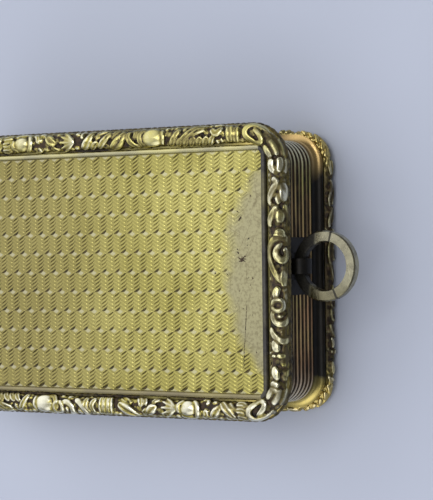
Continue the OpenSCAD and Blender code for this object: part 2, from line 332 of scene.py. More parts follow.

# %% [markdown]
# ### How a finish is put together
# Every finish starts with the same place in millimetres and the same shared masks, and ends with the same
# shader: dark dirt, in places painted shade, over a base colour, rougher and less metallic where it is dark. A
# class holds both ends, so that each finish below only says where it is dark and what colour it has.

# %% Making a finish
MORE_ROUGH_IN_SCRATCHES = 0.12
LESS_METAL_IN_DARK = -0.45
BUMP_M = 0.00002


class Finish:
    """A metal finish under construction: its tree, its place in mm and the shared masks."""

    def __init__(self, name, blotch_scale=0.16):
        self.material, self.tree, self.shader = new_material(name)
        scale = self.tree.nodes.new("ShaderNodeMapping")
        scale.inputs["Scale"].default_value = (1 / MM, 1 / MM, 1 / MM)
        coords = self.tree.nodes.new("ShaderNodeTexCoord")
        plug(self.tree, scale.inputs["Vector"], coords.outputs["Object"])
        self.place = scale.outputs["Vector"]
        self.x, self.y, self.z = split(self.tree, self.place)
        spots = self.use(blotches)
        spots.inputs["Scale"].default_value = blotch_scale
        self.wide = Wire(self.tree, spots.outputs["Wide"])
        self.fine = Wire(self.tree, spots.outputs["Fine"])
        self.lines = Wire(self.tree, self.use(hairlines).outputs["Lines"])

    def use(self, shared):
        node = self.tree.nodes.new("ShaderNodeGroup")
        node.node_tree = shared
        plug(self.tree, node.inputs["Place"], self.place)
        return node

    def attribute(self, name):
        node = self.tree.nodes.new("ShaderNodeAttribute")
        node.attribute_name = name
        return Wire(self.tree, node.outputs["Fac"])

    def noise(self, scale):
        return noise(self.tree, self.place, scale)

    def coats(self, first, *coats):
        """A colour with coats of others over it, each with its amount."""
        for amount, over in coats:
            first = tint(self.tree, amount, first, over)
        return first

    def close(self, base, dark, polish, bump=0.0, grime_and_shade=(BROWN, TARNISH_AND_SHADE)):
        """Base colour, a darkness mask, and the roughness of bright and of dark metal."""
        bright, dull = polish
        rough = self.lines.scaled(MORE_ROUGH_IN_SCRATCHES, dark.scaled(dull - bright, bright))
        tarnish = tint(self.tree, self.fine, *grime_and_shade)
        for name, value in (("Base Color", tint(self.tree, dark, base, tarnish)), ("Roughness", rough),
                            ("Metallic", dark.scaled(LESS_METAL_IN_DARK, 1.0))):
            plug(self.tree, self.shader.inputs[name], value)
        if bump:
            node = self.tree.nodes.new("ShaderNodeBump")
            node.inputs["Strength"].default_value = bump
            node.inputs["Distance"].default_value = BUMP_M
            plug(self.tree, node.inputs["Height"], self.fine - self.lines)
            plug(self.tree, self.shader.inputs["Normal"], node.outputs["Normal"])
        return self.material


print("bump height in mm:", BUMP_M / MM)

# %% [markdown]
# ### Reeded wall
# The side is a stack of fine horizontal reeds. Dirt sits in the grooves, streaks run along the reeds, the
# upper reeds carry a painted shadow of the lid's overhang, and hands have kept the four corners bright. The
# groove mask is worked out from the height alone, so that it always falls between two reeds of the solid.

# %% Reeded wall
wall_low, wall_high = box_mm("side_wall")
REEDS = 9
HALF_REED = (wall_high[2] - wall_low[2]) / REEDS / 2
WALL_CORNER_R = 2.2


def corner_rub(f):
    """1 at the four upright corners, which hands keep bright, and 0 along the sides."""
    return abs(f.x).ease(12.6, 16.2) * abs(f.y).ease(7.6, 11.2)


def away(a, b):
    return (a * a + b * b).calc("SQRT")


def outer_skin(f):
    """1 on the reeded outside of the wall, 0 on its smooth inside and on its top edge."""
    from_x = (abs(f.x) - (wall_high[0] - WALL_CORNER_R)).at_least(0.0)
    from_y = (abs(f.y) - (wall_high[1] - WALL_CORNER_R)).at_least(0.0)
    outside = away(from_x, from_y).ease(WALL_CORNER_R - 0.7, WALL_CORNER_R - 0.45)
    return outside * f.z.ease(wall_high[2] - 0.005, wall_high[2] - 0.05)


def reeded_gilt():
    f = Finish("reeded gilt")
    rub, skin = corner_rub(f), outer_skin(f)
    crest = (f.z - wall_low[2]).calc("PINGPONG", HALF_REED) / HALF_REED
    lay = f.tree.nodes.new("ShaderNodeMapping")
    lay.inputs["Scale"].default_value = (0.12, 0.12, 2.3)
    plug(f.tree, lay.inputs["Vector"], f.place)
    streak = noise(f.tree, lay.outputs["Vector"], 1.0, 2.0).ease(0.35, 0.65)
    # Painted shadow: besides the streaks, the upper reeds under the lid's overhang are darkened by height.
    stain_and_shade = (streak.scaled(0.7, 0.02) + f.z.ease(4.7, 5.9) * 0.4) * rub.scaled(-0.85, 1.0)
    dark = (crest.ease(0.78, 0.3) + stain_and_shade).at_most(1.0) * skin
    base = f.coats(PALE_GOLD, (f.wide * skin, ROSE_GOLD), (rub * 0.8, WORN_SILVER))
    return f.close(base, dark, (0.28, 0.5), 0.15)


finishes = {"side_wall": reeded_gilt()}
print("reed pitch in mm:", round(2 * HALF_REED, 3))

# %% [markdown]
# ### Plain gilding
# Rims, hollow and inside are smooth gilt metal. They differ in how much of it is stained or darkened, whether
# the corners are rubbed bright and carry a painted amber reflection, and where the dark begins, so one
# function with a few values makes them all. The hollow above the foot is nearly black, darker towards its top,
# with a painted warm reflection at the back.

# %% Plain gilding


def plain_gilt(name, stain_and_shade, least=0.0, rubbed=False, polish=(0.24, 0.5), grime_and_shade=(BROWN, TARNISH_AND_SHADE),
               clean_below=None, dark_above=None):
    f = Finish(name)
    amount = (f.wide * f.fine.scaled(0.5, 0.5)).scaled(stain_and_shade * 2, least)
    base = f.coats(PALE_GOLD, (f.wide, DEEP_GOLD), (f.lines * 0.2, WORN_SILVER))
    if rubbed:
        rub = corner_rub(f)
        amount = amount * rub.scaled(-0.95, 1.0)
        # Painted reflection: the rubbed corners also get an amber tone.
        base = f.coats(base, (rub * 0.6, AMBER))
    if clean_below:
        amount = amount * f.z.ease(clean_below, clean_below + 0.1)
    if dark_above:
        # The hollow is made darker towards its top, and its back gets a painted warm reflection in rose gold.
        amount = amount.at_least(f.z.ease(dark_above, dark_above + 0.3) * 0.7)
        base = f.coats(base, (f.y.ease(4.0, 8.0) * 0.5, ROSE_GOLD))
    return f.close(base, amount.at_most(1.0), polish, 0.12, grime_and_shade)


finishes["foot_cove"] = plain_gilt(
    "hollow gilt", 0.4, 0.94, True, (0.2, 0.42), (TARNISH_AND_SHADE, SOOT_AND_SHADE), dark_above=2.0)
finishes["base_rim"] = plain_gilt("foot gilt", 0.3, 0.4, True)
finishes["lid_rim"] = plain_gilt("rim gilt", 0.35, 0.55, True, clean_below=rim_low[2] + 0.02)
inner_gilt = plain_gilt("inner gilt", 0.15)
for name in ("box_knuckles", "lid_knuckles", "lid_flange", "grille_seat", "grille_brackets",
             "grille_plate", "grille_strip", "grille_knuckles"):
    finishes[name] = inner_gilt
print("finishes so far:", len(finishes))

# %% [markdown]
# ### Engine-turned gilding and the wires
# On the panels the mesh itself says where a furrow, a pit, a smooth island or a worn end is, so the finish
# only colours those four values. The dark of the furrows and pits is painted shade, and so is a darkening
# towards the panel's left end. A few black nicks lie where the gilding is worn through. The wires are pale on
# the crest and dark along both feet, and paler along the back as a painted highlight.

# %% Engine-turned gilding
BLACK_SPOTS = (  # x, y, half length, half width, turn
    (14.74, 1.1, 0.52, 0.1, 38), (14.7, 1.06, 0.45, 0.08, -28), (14.72, 1.08, 0.36, 0.09, 85),
    (14.6, 4.56, 0.26, 0.11, 50), (14.37, 1.63, 0.16, 0.07, -50), (14.31, 1.93, 0.1, 0.07, 0),
    (15.4, 2.85, 0.12, 0.06, 40), (14.33, 5.13, 0.13, 0.05, -40), (15.0, -4.6, 2.3, 0.035, 86),
    (14.8, -7.2, 1.2, 0.04, 88))


def black_spot(f, x, y, half_long, half_wide, turn_deg):
    """1 on a ragged black nick at one place on the lid's panel."""
    c, s = math.cos(math.radians(turn_deg)), math.sin(math.radians(turn_deg))
    dx, dy = f.x - x, f.y - y
    along = dx * (c / half_long) + dy * (s / half_long)
    across = dy * (c / half_wide) - dx * (s / half_wide)
    ragged = f.noise(7.0).scaled(2.4, away(along, across))
    return ragged.ease(2.2, 1.9) * f.z.ease(5.0, 6.0)


def turned_gilt():
    f = Finish("engine-turned gilt", 0.11)
    cut, pit, land, worn = (f.attribute(name) for name in ("cut", "pit", "land", "worn"))
    grain = f.noise(4.0).ease(0.42, 0.66)
    # Painted shade: the panel is made darker towards its left end, where less light falls.
    base = f.coats(
        colour(174, 166, 100), (f.wide, colour(150, 142, 79)), (f.x.ease(9.0, -9.0) * 0.75, OLD_GOLD),
        (land * 0.36, WORN_SILVER), (worn * 0.8, OLD_SILVER), (f.lines * worn.scaled(0.25, 0.1), BROWN),
        (grain * worn * 0.3, BROWN))
    # Painted shade: the furrows are darkened, and the pits on the rising flanks most, as if lit from the upper
    # left.
    dark = (cut.ease(0.25, 1.15) * f.wide.scaled(0.25, 0.65)).at_least(pit.ease(0.2, 0.9) * 0.9)
    nicks = f.noise(3.2).ease(0.66, 0.72) * f.x.ease(8.0, 13.0)
    for mark in BLACK_SPOTS:
        nicks = nicks.at_least(black_spot(f, *mark))
    return f.close(base, dark.at_least(nicks), (0.3, 0.5))


TURNED_GILT = turned_gilt()
print("black nicks on the panel:", len(BLACK_SPOTS))

# %% Gilding of the wires


def frame_gilt():
    """A wire that is darker along the front, with a painted highlight along the back, and grey-black at both
    ends of the panel.
    """
    f = Finish("frame gilt", 0.2)
    # Painted highlight: the back run is paler and silvery; the front run is simply made darker.
    back_run = f.y.ease(9.0, 10.0)
    foot = f.attribute("rise").ease(0.5, 0.15) * back_run.scaled(-0.25, 0.6)
    at_end = abs(f.x).ease(16.5, 16.62) * f.wide.scaled(0.2, 0.8)
    base = f.coats(PALE_GOLD, (f.wide, colour(128, 122, 94)),
                   (f.y.ease(-9.0, -10.0) * 0.75, colour(126, 117, 96)), (back_run * 0.25, WORN_SILVER))
    grime_and_shade = (colour(62, 60, 60), colour(40, 38, 38))
    return f.close(base, foot.at_least(at_end), (0.24, 0.45), grime_and_shade=grime_and_shade)


FRAME_GILT = frame_gilt()
print("finish of the wires:", FRAME_GILT.name)

# %% [markdown]
# ### Cast gilding
# A casting has silver on its high points, gold on its slopes and dark in its hollows. The relief that is
# stored on the mesh drives all three. The foot's border is gloomier than the lid's, except at the corners, so
# gloom is a value. Painted shade also darkens the ends of both borders and the lid border's outer flank, and a
# painted amber reflection lies on the foot's corners.

# %% Cast gilding


def cast_gilt(name, gloom):
    f = Finish(name, 0.3)
    relief, rub = f.attribute("relief"), corner_rub(f)
    specks = f.fine.ease(0.55, 0.95) * relief.ease(0.66, 0.45)
    # Painted shade: the ends of the border are darkened, except on their highest parts.
    at_end = abs(f.x).ease(16.4, 17.4) * relief.ease(1.0, 0.68)
    gloomy = rub.scaled(-gloom, gloom) * relief.ease(1.1, 0.75)
    dark = relief.ease(0.5, 0.3).at_least(specks).at_least(at_end * 0.75).at_least(gloomy)
    gold = f.coats(OLD_GOLD, (f.wide, DEEP_GOLD))
    high = f.coats(PALE_GOLD, (f.wide.at_least(f.y.ease(-9.5, -11.0)), WORN_SILVER))
    bright = relief.ease(0.6, 0.95)
    if gloom:
        # Painted reflection: the rubbed corners of the foot's border get an amber tone.
        base = f.coats(gold, (bright, high), (rub * 0.7, AMBER))
        dark = dark * rub.scaled(-0.8, 1.0)
    else:
        # Painted shade: the lid border's outer flank is darkened and kept from turning bright.
        flank = f.z.ease(9.2, 8.8)
        base = f.coats(gold, (bright * flank.rest(), high))
        dark = dark.at_least(flank * f.fine.scaled(0.35, 0.6))
    return f.close(base, dark, (0.2, 0.5))


LID_CAST, BASE_CAST = cast_gilt("cast lid border gilt", 0.0), cast_gilt("cast base border gilt", 0.88)
print("cast finishes:", LID_CAST.name, "and", BASE_CAST.name)

# %% [markdown]
# ### Silver of the lug, pins and ring
# The ring and its lug are ungilt silver, nearly black where the lid shades them. The ring is smooth,
# darker on the side of the box, with two solder seams across its band. The seams are found by the
# angle round the ring's middle. All finishes then go onto the solids, whose shapes stay as they are.

# %% Silver


def worn_silver(name, stain_and_shade):
    f = Finish(name, 0.4)
    base = f.coats(WORN_SILVER, (f.wide, OLD_SILVER), (f.lines * 0.5, BROWN))
    dark = f.fine.scaled(0.5, 0.5) * f.wide.scaled(stain_and_shade, stain_and_shade)
    return f.close(base, dark.at_most(1.0), (0.2, 0.45), 0.1, (TARNISH_AND_SHADE, SOOT_AND_SHADE))


def ring_silver():
    f = Finish("ring silver", 0.7)
    low, high = box_mm("suspension_ring")
    from_x, from_y = f.x - (low[0] + high[0]) / 2, f.y - (low[1] + high[1]) / 2
    angle = from_y.calc("ARCTAN2", from_x)
    dark = f.noise(1.6).ease(0.42, 0.68) * 0.35
    # Painted shade: the side of the ring towards the box, under the lid, is made nearly black.
    dark = dark.at_least(f.y.scaled(-0.13, f.x).ease(20.1, 19.7) * 0.97)
    for seam_deg in (76, -66):
        dark = dark.at_least(abs(angle - math.radians(seam_deg)).ease(0.06, 0.02) * 0.9)
    # Painted shade: the front of the ring is made darker than its back.
    base = f.coats(colour(140, 136, 116), (f.wide, colour(164, 159, 134)),
                   (f.y.ease(-0.6, -2.2) * 0.7, colour(112, 106, 80)))
    return f.close(base, dark, (0.18, 0.45), 0.08, (colour(42, 40, 36), SOOT_AND_SHADE))


# Painted shade: the lug is made dark all over, for the shade of the lid above it.
finishes["ring_lug"] = worn_silver("lug silver", 2.0)
finishes["suspension_ring"] = ring_silver()
finishes["lid_hinge_pin"] = finishes["grille_hinge_pin"] = worn_silver("pin silver", 0.3)
for name, finish in finishes.items():
    mesh = nodes[name].data
    mesh.materials.clear()
    mesh.materials.append(finish)
print("finished solids:", len(finishes))

# %% [markdown]
# ## Shapes grown by node trees
# A tree is built once with named inputs, and each piece sets them by the socket's identifier. Trees
# work in millimetres, because voxels and merge distances under a tenth of a millimetre are easier
# there.

# %% Helpers for shape trees


def shape_tree(name, inputs):
    """A tree with named inputs: a number sets a default, a word says what kind the input is."""
    made = bpy.data.node_groups.new(name, "GeometryNodeTree")
    made.interface.new_socket("Geometry", in_out="INPUT", socket_type="NodeSocketGeometry")
    for label, value in inputs.items():
        kind = {float: "Float", int: "Int"}.get(type(value), value)
        socket = made.interface.new_socket(label, in_out="INPUT", socket_type="NodeSocket" + kind)
        if kind != value:
            socket.default_value = value
    made.interface.new_socket("Geometry", in_out="OUTPUT", socket_type="NodeSocketGeometry")
    given = {socket.name: Wire(made, socket) for socket in made.nodes.new("NodeGroupInput").outputs}
    return made, given, made.nodes.new("NodeGroupOutput").inputs[0]


def step(tree, kind, links, **settings):
    """Adds a node, plugs its inputs by name or number, and returns its outputs."""
    node = tree.nodes.new(kind)
    for key, value in settings.items():
        setattr(node, key, value)
    for socket, value in links.items():
        plug(tree, node.inputs[socket], value)
    return node.outputs


def flow(tree, kind, geometry, **links):
    """A step that takes a geometry, changes it and hands it on."""
    return step(tree, "GeometryNode" + kind, {"Geometry": geometry, **links})[0]


def store(tree, geometry, name, value):
    links = {"Geometry": geometry, "Name": name, "Value": value}
    return step(tree, "GeometryNodeStoreNamedAttribute", links, data_type="FLOAT")[0]


def vector(tree, operation, first, second):
    links = {0: first, "Scale" if operation == "SCALE" else 1: second}
    return step(tree, "ShaderNodeVectorMath", links, operation=operation)[0]


def place(tree):
    return step(tree, "GeometryNodeInputPosition", {})[0]


def join_xyz(tree, x, y, z):
    return step(tree, "ShaderNodeCombineXYZ", {0: x, 1: y, 2: z})[0]


def close_tree(tree, geometry, finish, output):
    solid = flow(tree, "RealizeInstances", geometry)
    plug(tree, output, flow(tree, "SetMaterial", solid, Material=finish))
    print("nodes in the tree of the", tree.name + ":", len(tree.nodes))


print("shared groups and shape trees so far:", len(bpy.data.node_groups))

# %% Growing a piece


def grow(name, tree, values, start=None, extra=None, flip=None):
    """Runs a tree on a start mesh and keeps the result as a plain mesh in metres."""
    piece = new_object(name, start or bpy.data.meshes.new(name))
    modifier = piece.modifiers.new("shape", "NODES")
    modifier.node_group = tree
    for item in tree.interface.items_tree:
        if item.in_out == "INPUT" and item.name in values:
            modifier[item.identifier] = values[item.name]
    if extra:
        extra(piece)
    shaped = piece.evaluated_get(bpy.context.evaluated_depsgraph_get())
    mesh = bpy.data.meshes.new_from_object(shaped)
    piece.modifiers.clear()
    piece.data = mesh
    mesh.name = name
    if flip:
        mesh.transform(flip)
    mesh.transform(Matrix.Scale(MM, 4))
    return piece


def hand_over(piece, body, node):
    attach(piece, body)
    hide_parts(node)
    piece.data.calc_loop_triangles()
    print(piece.name, "triangles:", len(piece.data.loop_triangles))


print("a grown piece is scaled by:", MM)

# %% [markdown]
# ## Engine-turned panels
# A straight-line engine cut zigzag furrows along the panel, five to a band, and moved half a zigzag
# between bands. A bump texture would look flat at the edges, so the furrows are real: the rows of a
# grid follow the zigzag, one row in each furrow, one on each side of it, and one along each edge of
# a band. First every row learns its band, its furrow and its side of it.

# %% Rows and bands
BANDS, LINES, LINE_ROWS = 12, 5, 3
BAND_ROWS = LINES * LINE_ROWS + 2
ROWS = BANDS * BAND_ROWS + 2
PANEL_HALF_L, PANEL_HALF_W = 16.8, 10.3
ZIGZAG_MM = 1.4

turning, given, output = shape_tree("engine turning", {
    "Length": 2 * PANEL_HALF_L, "Width": 2 * PANEL_HALF_W, "Thickness": 0.5, "Zigzag length": ZIGZAG_MM,
    "Zigzag height": 0.205, "Line pitch": 0.333, "Cut depth": 0.09, "Plain end": 1.4, "Top": 9.175,
    "Columns": 97, "Finish": "Material"})
panel = step(turning, "GeometryNodeMeshCube", {
    "Size": (1, 1, 1), "Vertices X": given["Columns"], "Vertices Y": ROWS, "Vertices Z": 2})["Mesh"]
x, y, z = split(turning, place(turning))
row = ((y + 0.5) * (ROWS - 1)).calc("ROUND")
band = ((row - 0.9) / BAND_ROWS).calc("FLOOR")
band_row = row - band * BAND_ROWS - 2.0
in_band = ((band_row + 0.1) / LINE_ROWS).calc("FLOOR").within(0.0, LINES - 1.0)
side = band_row - in_band * LINE_ROWS - 1.0
island = abs(side) > 1.5
side = side.within(-1.0, 1.0)
border_row = (row < 0.5) + (row > ROWS - 1.5)
print("rows of the panel:", ROWS)

# %% [markdown]
# The zigzag is a wave along X that moves the rows of a band up and down. Furrows that would leave the
# band stop at its edge, as the engine's did, and the rest of their way is kept as a value.

# %% Zigzag
long_x = x * given["Length"]
plain_y = y * given["Width"]
half = given["Zigzag length"] / 2.0
wave_x = (x + 0.5) * given["Length"] + band.calc("FLOORED_MODULO", 2.0) * half
wave = wave_x.calc("PINGPONG", half) / half * 2.0 - 1.0
lean = (wave_x * calc(turning, "DIVIDE", 2 * math.pi, given["Zigzag length"])).calc("SINE")
lean = (lean * 1.4).within(-1.0, 1.0)
band_w = given["Width"] / (BANDS + 0.12)
band_mid = (band - (BANDS - 1) / 2) * band_w
limit = band_w / 2.0
from_mid = in_band - (LINES - 1) / 2 + side * 0.44
free_y = from_mid * given["Line pitch"] + wave * given["Zigzag height"]
kept_y = free_y.within(limit * -1.0, limit)
over = abs(free_y - kept_y) / (given["Line pitch"] * 0.26)
print("zigzags along the panel:", round(2 * PANEL_HALF_L / ZIGZAG_MM))

# %% [markdown]
# Where the furrows of two bands meet they run into a dark pit, and where they part a smooth island of
# metal stays. One flank of each zigzag was cut deeper than the other, which makes the rows look like
# plaited straw.

# %% Furrows, pits and islands
furrow = abs(side).rest()
lowest = (from_mid < -1.8) * island.rest()
thick = lowest * wave.ease(-0.95, -0.1)
thin = from_mid.calc("COMPARE", 2.0, 0.1) * 0.6
pit = (thick + thin) * lean.at_least(0.0)
cut = (furrow + over).at_most(1.0)
cut = pit.scaled(0.3, cut.at_least(pit * 0.9))
outward = from_mid.calc("SIGN")
land = (wave * outward).ease(0.1, -0.6) * island
to_edge = limit * outward - kept_y
kept_y = (to_edge * island).scaled(0.5, kept_y)
print("furrows across the panel:", BANDS * LINES)

# %% [markdown]
# Fingers have worn the turning away at both ends, most of all halfway across, with a ragged edge. The
# wear takes the cut away from the shape, and it is stored, so that the finish can colour it.

# %% Wear and the cut panel
edge = given["Length"] * 0.5 - abs(long_x)
rubs = noise(turning, join_xyz(turning, long_x, plain_y, 0.0), 0.35, 3.0)
from_axis = y * y
from_axis = from_axis * from_axis.scaled(60.0, 9.0)
ragged = rubs.scaled(3.2, edge) + from_axis - (given["Plain end"] + 2.6)
kept_cut = ragged.ease(0.0, 1.9) * border_row.rest()
hand = rubs.ease(0.2, 0.6).scaled(0.4, 0.6) * lean.scaled(0.42, 0.58)
pit = pit * kept_cut
cut = cut * (kept_cut * hand)


def choose(test, no, yes):
    links = {"Switch": test, "False": no, "True": yes}
    return step(turning, "GeometryNodeSwitch", links, input_type="FLOAT")[0]


is_top = z > 0.0
row_y = choose(border_row, band_mid + kept_y, plain_y)
new_y = choose(is_top, plain_y, row_y)
new_z = choose(is_top, given["Top"] - given["Thickness"], given["Top"] - cut * given["Cut depth"])
for name, value in (("cut", cut), ("pit", pit), ("land", land * kept_cut), ("worn", kept_cut.rest())):
    panel = store(turning, panel, name, value * is_top)
panel = flow(turning, "SetPosition", panel, Position=join_xyz(turning, long_x, new_y, new_z))
close_tree(turning, panel, given["Finish"], output)

# %% [markdown]
# The lid's panel and the one under the foot have the same turning. The lower one is grown face up and
# turned over, with half the columns, because it is seldom seen.

# %% Both panels
panel_top = box_mm("lid_panel")[1][2]
base_face = box_mm("base_panel")[0][2]
over_x = Matrix.Rotation(math.pi, 4, "X")
lid_panel = grow("engine_turned_lid_panel", turning, {
    "Top": panel_top, "Columns": 193, "Finish": TURNED_GILT})
base_panel = grow("engine_turned_base_panel", turning, {
    "Top": -base_face, "Finish": TURNED_GILT}, flip=over_x)
hand_over(lid_panel, "lid", "lid_panel")
hand_over(base_panel, "box", "base_panel")

# %% [markdown]
# ## Mouldings that follow the outline
# The cast borders and the wires round the panels all run round the box. One tree makes them: a
# half-round bar along X, with cast motifs placed on it, is bent onto a closed path. The path is a
# curve object, so the corners of a border and of a wire can differ. The bar comes first, from a grid
# whose rows go round half a circle and back along the flat side.

# %% Half-round bar
BAR_ROWS = 15

moulding, given, output = shape_tree("moulding on a path", {
    "Motifs": "Collection", "Path": "Object", "Bar height": 0.6, "Bar half-width": 0.6, "Steps": 600,
    "Turn": 0.0, "Finish": "Material"})
path = step(moulding, "GeometryNodeObjectInfo", {"Object": given["Path"]})["Geometry"]
length = Wire(moulding, step(moulding, "GeometryNodeCurveLength", {"Curve": path})[0])
bar = step(moulding, "GeometryNodeMeshGrid", {
    "Size X": 1.0, "Size Y": 1.0, "Vertices X": given["Steps"], "Vertices Y": BAR_ROWS})["Mesh"]
x, y, z = split(moulding, place(moulding))
share = (y + 0.5) * ((BAR_ROWS - 1) / (BAR_ROWS - 2))
angle = calc(moulding, "SUBTRACT", 0.5, (share * 0.9999).calc("FRACT")) * math.pi
rise = angle.calc("COSINE")
bar = store(moulding, bar, "rise", rise)
bar = flow(moulding, "SetPosition", bar, Position=join_xyz(
    moulding, (x + 0.5) * length, angle.calc("SINE") * given["Bar half-width"], rise * given["Bar height"]))
print("rows round the bar:", BAR_ROWS)

# %% [markdown]
# The start mesh holds one point for each motif, with the motif's number. The straight bar and its
# motifs are then bent together: the place along X picks a spot on the path, and the other two are set
# off inwards and upwards from there, turned by an angle for a border that faces out.

# %% Motifs and bend
MERGE_MM = 0.0008

motifs = step(moulding, "GeometryNodeCollectionInfo", {
    "Collection": given["Motifs"], "Separate Children": True, "Reset Children": True})[0]
which = step(moulding, "GeometryNodeInputNamedAttribute", {"Name": "motif"}, data_type="INT")[0]
placed = step(moulding, "GeometryNodeInstanceOnPoints", {
    "Points": given["Geometry"], "Instance": motifs, "Pick Instance": True, "Instance Index": which})[0]
placed = flow(moulding, "RealizeInstances", placed)
straight = moulding.nodes.new("GeometryNodeJoinGeometry")
for geometry in (bar, placed):
    moulding.links.new(geometry, straight.inputs[0])

x, y, z = split(moulding, place(moulding))
at_end = x.calc("COMPARE", length, 0.0005)
around = (x + length).calc("FLOORED_MODULO", length) * at_end.rest()
spot = step(moulding, "GeometryNodeSampleCurve", {"Curves": path, "Length": around}, mode="LENGTH")
upward = join_xyz(moulding, 0.0, 0.0, 1.0)
inward = vector(moulding, "CROSS_PRODUCT", upward, spot["Tangent"])
cosine, sine = given["Turn"].calc("COSINE"), given["Turn"].calc("SINE")
flat = vector(moulding, "SCALE", inward, y * cosine - z * sine)
high = vector(moulding, "SCALE", upward, y * sine + z * cosine)
bent = vector(moulding, "ADD", spot["Position"], vector(moulding, "ADD", flat, high))
ring = flow(moulding, "SetPosition", straight.outputs[0], Position=bent)
ring = flow(moulding, "MergeByDistance", ring, Distance=MERGE_MM)
close_tree(moulding, flow(moulding, "SetShadeSmooth", ring), given["Finish"], output)

# %% [markdown]
# ## Wires round the panels
# A half-round wire covers the joint between panel and border. Its path is a rectangle with rounded
# corners, at an inset from the outline of the lid's rim, and starts in the middle of the front. A
# curve of straight steps is enough, because they are far shorter than the sides, and the corners have
# finer ones.

# %% Paths
PATH_STEP = 0.5
CORNER_POINTS = 25
helpers = []


def path_curve(name, inset, corner_r, height):
    half_l, half_w = rim_high[0] - inset, rim_high[1] - inset
    points = []
    for quarter in range(4):
        a, b = (half_l, half_w) if quarter % 2 == 0 else (half_w, half_l)
        first = 0 if quarter == 0 else corner_r - a + PATH_STEP / 2
        flat_part = [(px, -b) for px in np.arange(first, a - corner_r, PATH_STEP)]
        turn_part = [(a - corner_r + corner_r * math.sin(t), -b + corner_r - corner_r * math.cos(t))
                     for t in np.linspace(0, math.pi / 2, CORNER_POINTS)]
        c, s = round(math.cos(quarter * math.pi / 2)), round(math.sin(quarter * math.pi / 2))
        points += [(c * px - s * py, s * px + c * py) for px, py in flat_part + turn_part]
    points += [(px, -half_w) for px in np.arange(-(half_l - corner_r) + PATH_STEP / 2, -0.1, PATH_STEP)]
    curve = bpy.data.curves.new(name, "CURVE")
    curve.dimensions = "3D"
    spline = curve.splines.new("POLY")
    spline.points.add(len(points) - 1)
    for point, (px, py) in zip(spline.points, points):
        point.co = (px, py, height, 1)
    spline.use_cyclic_u = True
    helpers.append(new_object(name, curve))
    return helpers[-1]


print("outline to follow in mm:", round(2 * rim_high[0], 2), "by", round(2 * rim_high[1], 2))

# %% Wires
WIRE_R = 0.26
WIRE_INSET = 2.02
WIRE_CORNER = 0.66
WIRE_STEPS = 700

for name, height, turn_angle, body, node in (
        ("lid_frame_wire", panel_top, 0.0, "lid", "lid_wire"),
        ("base_frame_wire", base_face, math.pi, "box", "base_wire")):
    route = path_curve(name + "_path", WIRE_INSET, WIRE_CORNER, height)
    wire = grow(name, moulding, {
        "Path": route, "Bar height": WIRE_R, "Bar half-width": WIRE_R, "Turn": turn_angle,
        "Steps": WIRE_STEPS, "Finish": FRAME_GILT})
    hand_over(wire, body, node)

# %% [markdown]
# ## Cast motifs
# The borders were cast in strips of scrolls, shells, leaves, flowers and bosses. Sculpting them would give one
# border alone, so every motif is made of strokes: a smooth line through a few given points, swept by a tube
# that swells and tapers. A broad stroke has a vein along its middle, as a leaf has. The first number of a
# point runs along the border and the second across it.

# %% Strokes
ASPECT = 0.8
CAP_SHARE = 0.12
USUAL_LIFT = 0.05
VEIN = 0.5
BROAD = 0.11


def through(points):
    """A smooth line through given points."""
    p = np.reshape(points, (-1, 2))
    p = np.vstack([2 * p[0] - p[1], p, 2 * p[-1] - p[-2]])
    t = np.linspace(0, 1, 6, endpoint=False)[:, None]
    runs = [b + t * (c - a) / 2 + t ** 2 * (a - 2.5 * b + 2 * c - d / 2) + t ** 3 * (3 * b - a - 3 * c + d) / 2
            for a, b, c, d in zip(p, p[1:], p[2:], p[3:])]
    return np.vstack(runs + [p[-2:-1]])


def stroke(line, widths, lift):
    """A line with its half-width at the start, middle and end, its lift and no vein."""
    f = np.linspace(0, 1, len(line))
    first, mid, last = widths
    swell = np.sin(math.pi * f)
    width = np.where(f < 0.5, first + (mid - first) * swell, last + (mid - last) * swell)
    cap = np.clip(1 - np.minimum(f, 1 - f) / CAP_SHARE, 0, 1)
    return line, width * np.sqrt(np.clip(1 - cap ** 2, 0.04, 1)), lift, 0.0


def draw(points, widths, vein):
    """A stroke through points, with a vein where it is broad. A fourth width is the lift."""
    lift = widths[3] if len(widths) > 3 else USUAL_LIFT
    line, width, lift, plain = stroke(through(points), widths[:3], lift)
    return line, width, lift, vein if max(widths[:3]) > BROAD else plain


print("points on a line through three:", len(through([0, 0, 1, 1, 2, 0])))

# %% Knobs, bosses, hoops and leaves
KNOB_LONG = 1.5
BOSS_LIFT = -0.15


def oval(u, v, half_long, half_high, lift, points, reach):
    f = np.linspace(-reach, reach, points)
    return np.c_[u + half_long * f, np.full(points, v)], half_high * np.sqrt(1 - f ** 2), lift, 0.0


def knob(u, v, r, lift):
    return oval(u, v, KNOB_LONG * r, r, lift, 9, 0.97)


def boss(u, v, half_long, half_high):
    return oval(u, v, half_long, half_high, BOSS_LIFT, 17, 0.98)


def hoop(u, v, size, width, lift):
    """A ring, drawn a little past its own start so that it closes."""
    a = math.radians(90) + 1.04 * 2 * math.pi * np.linspace(0, 1, 24)
    return stroke(np.c_[u + size * np.cos(a), v + ASPECT * size * np.sin(a)], (width,) * 3, lift)


def leaf(u, v, long, turn_deg, fat, lift, curl=0.15):
    """A swelling leaf from a foot, bowed to one side."""
    a = math.radians(turn_deg)
    end = (u + long * math.cos(a), v + ASPECT * long * math.sin(a))
    pull = ((u + end[0]) / 2 - curl * math.sin(a), (v + end[1]) / 2 + curl * math.cos(a))
    t = np.linspace(0, 1, 12)[:, None]
    line = (1 - t) ** 2 * np.array((u, v)) + 2 * t * (1 - t) * np.array(pull) + t ** 2 * np.array(end)
    return stroke(line, (fat * 0.4, fat, fat * 0.5), lift)


print("points on a leaf:", len(leaf(0, 0, 1, 0, 0.1, 0.0)[0]))

